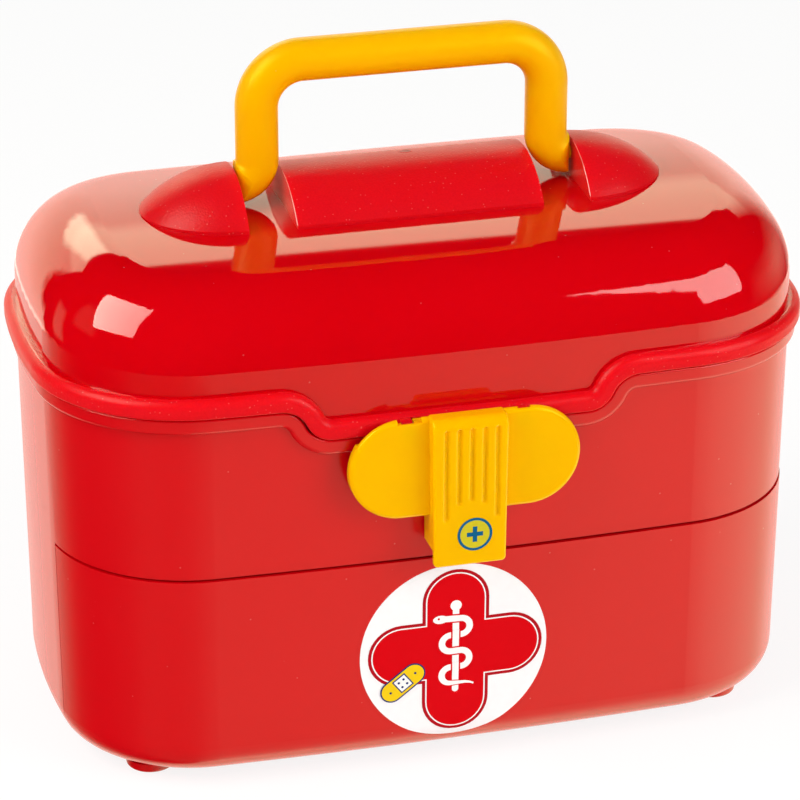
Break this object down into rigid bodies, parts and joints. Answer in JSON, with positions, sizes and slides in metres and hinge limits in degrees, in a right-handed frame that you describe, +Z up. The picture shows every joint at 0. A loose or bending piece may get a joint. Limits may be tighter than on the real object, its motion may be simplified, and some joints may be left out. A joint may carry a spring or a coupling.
{
  "type": "toy doctor case",
  "caption": "Toy doctor's carrying case with a domed hinged lid, folding bail handle, swinging front latch and a full-width drawer below the compartment.",
  "frame": {"origin": "on the floor under the middle of the case, at the bottom centre of its bounding box", "axes": "+Z up, the latch and drawer front face -Y, the case is longest along X"},
  "size_m": [0.26, 0.166, 0.2303],
  "materials": {
    "red_gloss": "gloss",
    "lid_red": "gloss dome with a fine frosted rim, grip and lugs",
    "yellow": "satin gloss",
    "yellow_latch": "gloss",
    "label": "printed film",
    "steel": "plain wire"
  },
  "bodies": {
    "case": {"body_shell": "red_gloss", "base_plate": "red_gloss", "hinge_pin_left": "steel", "hinge_pin_right": "steel", "foot_front_left": "red_gloss", "foot_front_right": "red_gloss", "foot_rear_left": "red_gloss", "foot_rear_right": "red_gloss"},
    "lid": {"lid_shell": "lid_red", "latch_pin": "steel"},
    "handle": {"handle": "yellow"},
    "latch": {"latch": "yellow_latch"},
    "drawer": {"drawer": "red_gloss", "front_label": "label"}
  },
  "joints": [
    {"name": "lid_hinge", "type": "hinge", "parent": "case", "child": "lid", "pos_m": [0, 0.0796, 0.1333], "axis": [-1, 0, 0], "range_deg": [0, 100]},
    {"name": "handle_fold", "type": "hinge", "parent": "lid", "child": "handle", "pos_m": [0, 0, 0.1836], "axis": [1, 0, 0], "range_deg": [-85, 85]},
    {"name": "latch_swing", "type": "hinge", "parent": "lid", "child": "latch", "pos_m": [0, -0.0745, 0.1258], "axis": [-1, 0, 0], "range_deg": [0, 60]},
    {"name": "drawer_slide", "type": "slide", "parent": "case", "child": "drawer", "axis": [0, -1, 0], "range_m": [0, 0.085]}
  ]
}
